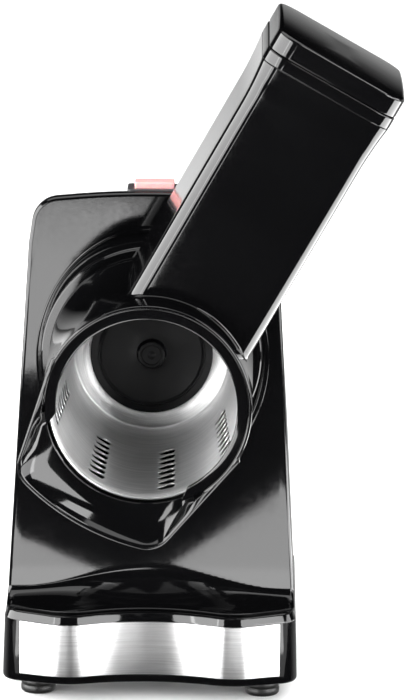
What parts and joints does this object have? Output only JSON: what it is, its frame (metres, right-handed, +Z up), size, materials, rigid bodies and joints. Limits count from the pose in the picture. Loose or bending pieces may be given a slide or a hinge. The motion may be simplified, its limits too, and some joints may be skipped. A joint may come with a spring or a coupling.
{
  "type": "electric drum slicer",
  "caption": "Upright electric drum slicer with a steel-banded plinth, a bayonet feed head with chute and spout, a grating drum, a pusher and a push button.",
  "frame": {"origin": "on the table plane, under the middle of the whole object's bounding box with the bayonet open", "axes": "+Z up, -Y to the front where the drum opens, +X to the right as seen from the front"},
  "size_m": [0.1904, 0.2606, 0.353],
  "materials": {
    "gloss_black": "high gloss injection moulded ABS",
    "satin_black": "satin",
    "brushed_steel": "brushed along the strip and around the drum",
    "bright_steel": "turned and plated",
    "rubber_black": "matt",
    "red_clear": "translucent gloss",
    "gear_nylon": "moulded nylon",
    "sheet_steel": "zinc plated",
    "ferrite": "sintered",
    "bronze": "sintered",
    "copper": "enamelled wire and copper bars",
    "carbon": "pressed graphite"
  },
  "bodies": {
    "root": {"front_cover": "gloss_black", "rear_cover": "gloss_black", "plinth": "gloss_black", "steel_band": "brushed_steel", "plinth_screws": "bright_steel", "rubber_feet": "rubber_black", "rear_screws": "bright_steel", "cord_gland": "satin_black", "socket_collar": "gloss_black", "socket_bezel": "satin_black", "socket_screws": "bright_steel", "spindle_bush": "bronze", "button_bezel": "gloss_black", "button_spring": "bright_steel", "micro_switch": "satin_black", "motor_can": "sheet_steel", "motor_magnets": "ferrite", "motor_end_cap": "satin_black", "motor_bearings": "bronze", "brush_holders": "bronze", "carbon_brushes": "carbon", "gear_plate_front": "sheet_steel", "gear_plate_rear": "sheet_steel", "plate_posts": "bright_steel", "gear_pins": "bright_steel"},
    "rotor": {"motor_shaft": "bright_steel", "armature": "sheet_steel", "armature_windings": "copper", "commutator": "copper", "cooling_fan": "gear_nylon", "motor_pinion": "sheet_steel"},
    "first_idler": {"first_gear": "gear_nylon"},
    "second_idler": {"second_gear": "gear_nylon"},
    "drum": {"output_gear": "gear_nylon", "drive_spindle": "bright_steel", "drum_shell": "brushed_steel", "drum_hub": "gloss_black"},
    "feed_head": {"head_barrel": "gloss_black", "bayonet_lugs": "gloss_black", "feed_chute": "gloss_black", "chute_collar": "gloss_black", "spout_ring": "gloss_black", "drum_retainer": "gloss_black"},
    "pusher": {"pusher_body": "gloss_black", "pusher_cap": "gloss_black"},
    "button": {"button_cap": "red_clear"}
  },
  "joints": [
    {"name": "head_turn", "type": "hinge", "parent": "root", "child": "feed_head", "pos_m": [-0.02255, 0.0103, 0.1787], "axis": [0, -1, 0], "range_deg": [0, 29.3]},
    {"name": "pusher_lift", "type": "slide", "parent": "feed_head", "child": "pusher", "axis": [0.4894, 0, 0.8721], "range_m": [0, 0.125]},
    {"name": "drum_spin", "type": "hinge", "parent": "root", "child": "drum", "pos_m": [-0.02255, 0.0103, 0.1787], "axis": [0, -1, 0], "continuous": true},
    {"name": "second_spin", "type": "hinge", "parent": "root", "child": "second_idler", "pos_m": [0.00298, 0.0103, 0.13688], "axis": [0, -1, 0], "continuous": true},
    {"name": "first_spin", "type": "hinge", "parent": "root", "child": "first_idler", "pos_m": [-0.03302, 0.0103, 0.11524], "axis": [0, -1, 0], "continuous": true},
    {"name": "motor_spin", "type": "hinge", "parent": "root", "child": "rotor", "pos_m": [-0.02255, 0.0103, 0.07794], "axis": [0, -1, 0], "continuous": true},
    {"name": "button_press", "type": "slide", "parent": "root", "child": "button", "axis": [0, 0, -1], "range_m": [0, 0.003], "stiffness_N_per_m": 600, "springref_m": -0.001, "deforming": ["button_spring"]}
  ],
  "couplings": [
    {"joint": "second_spin", "follows": "drum_spin", "ratio": -2.5},
    {"joint": "first_spin", "follows": "drum_spin", "ratio": 7.5},
    {"joint": "motor_spin", "follows": "drum_spin", "ratio": -25.714}
  ]
}
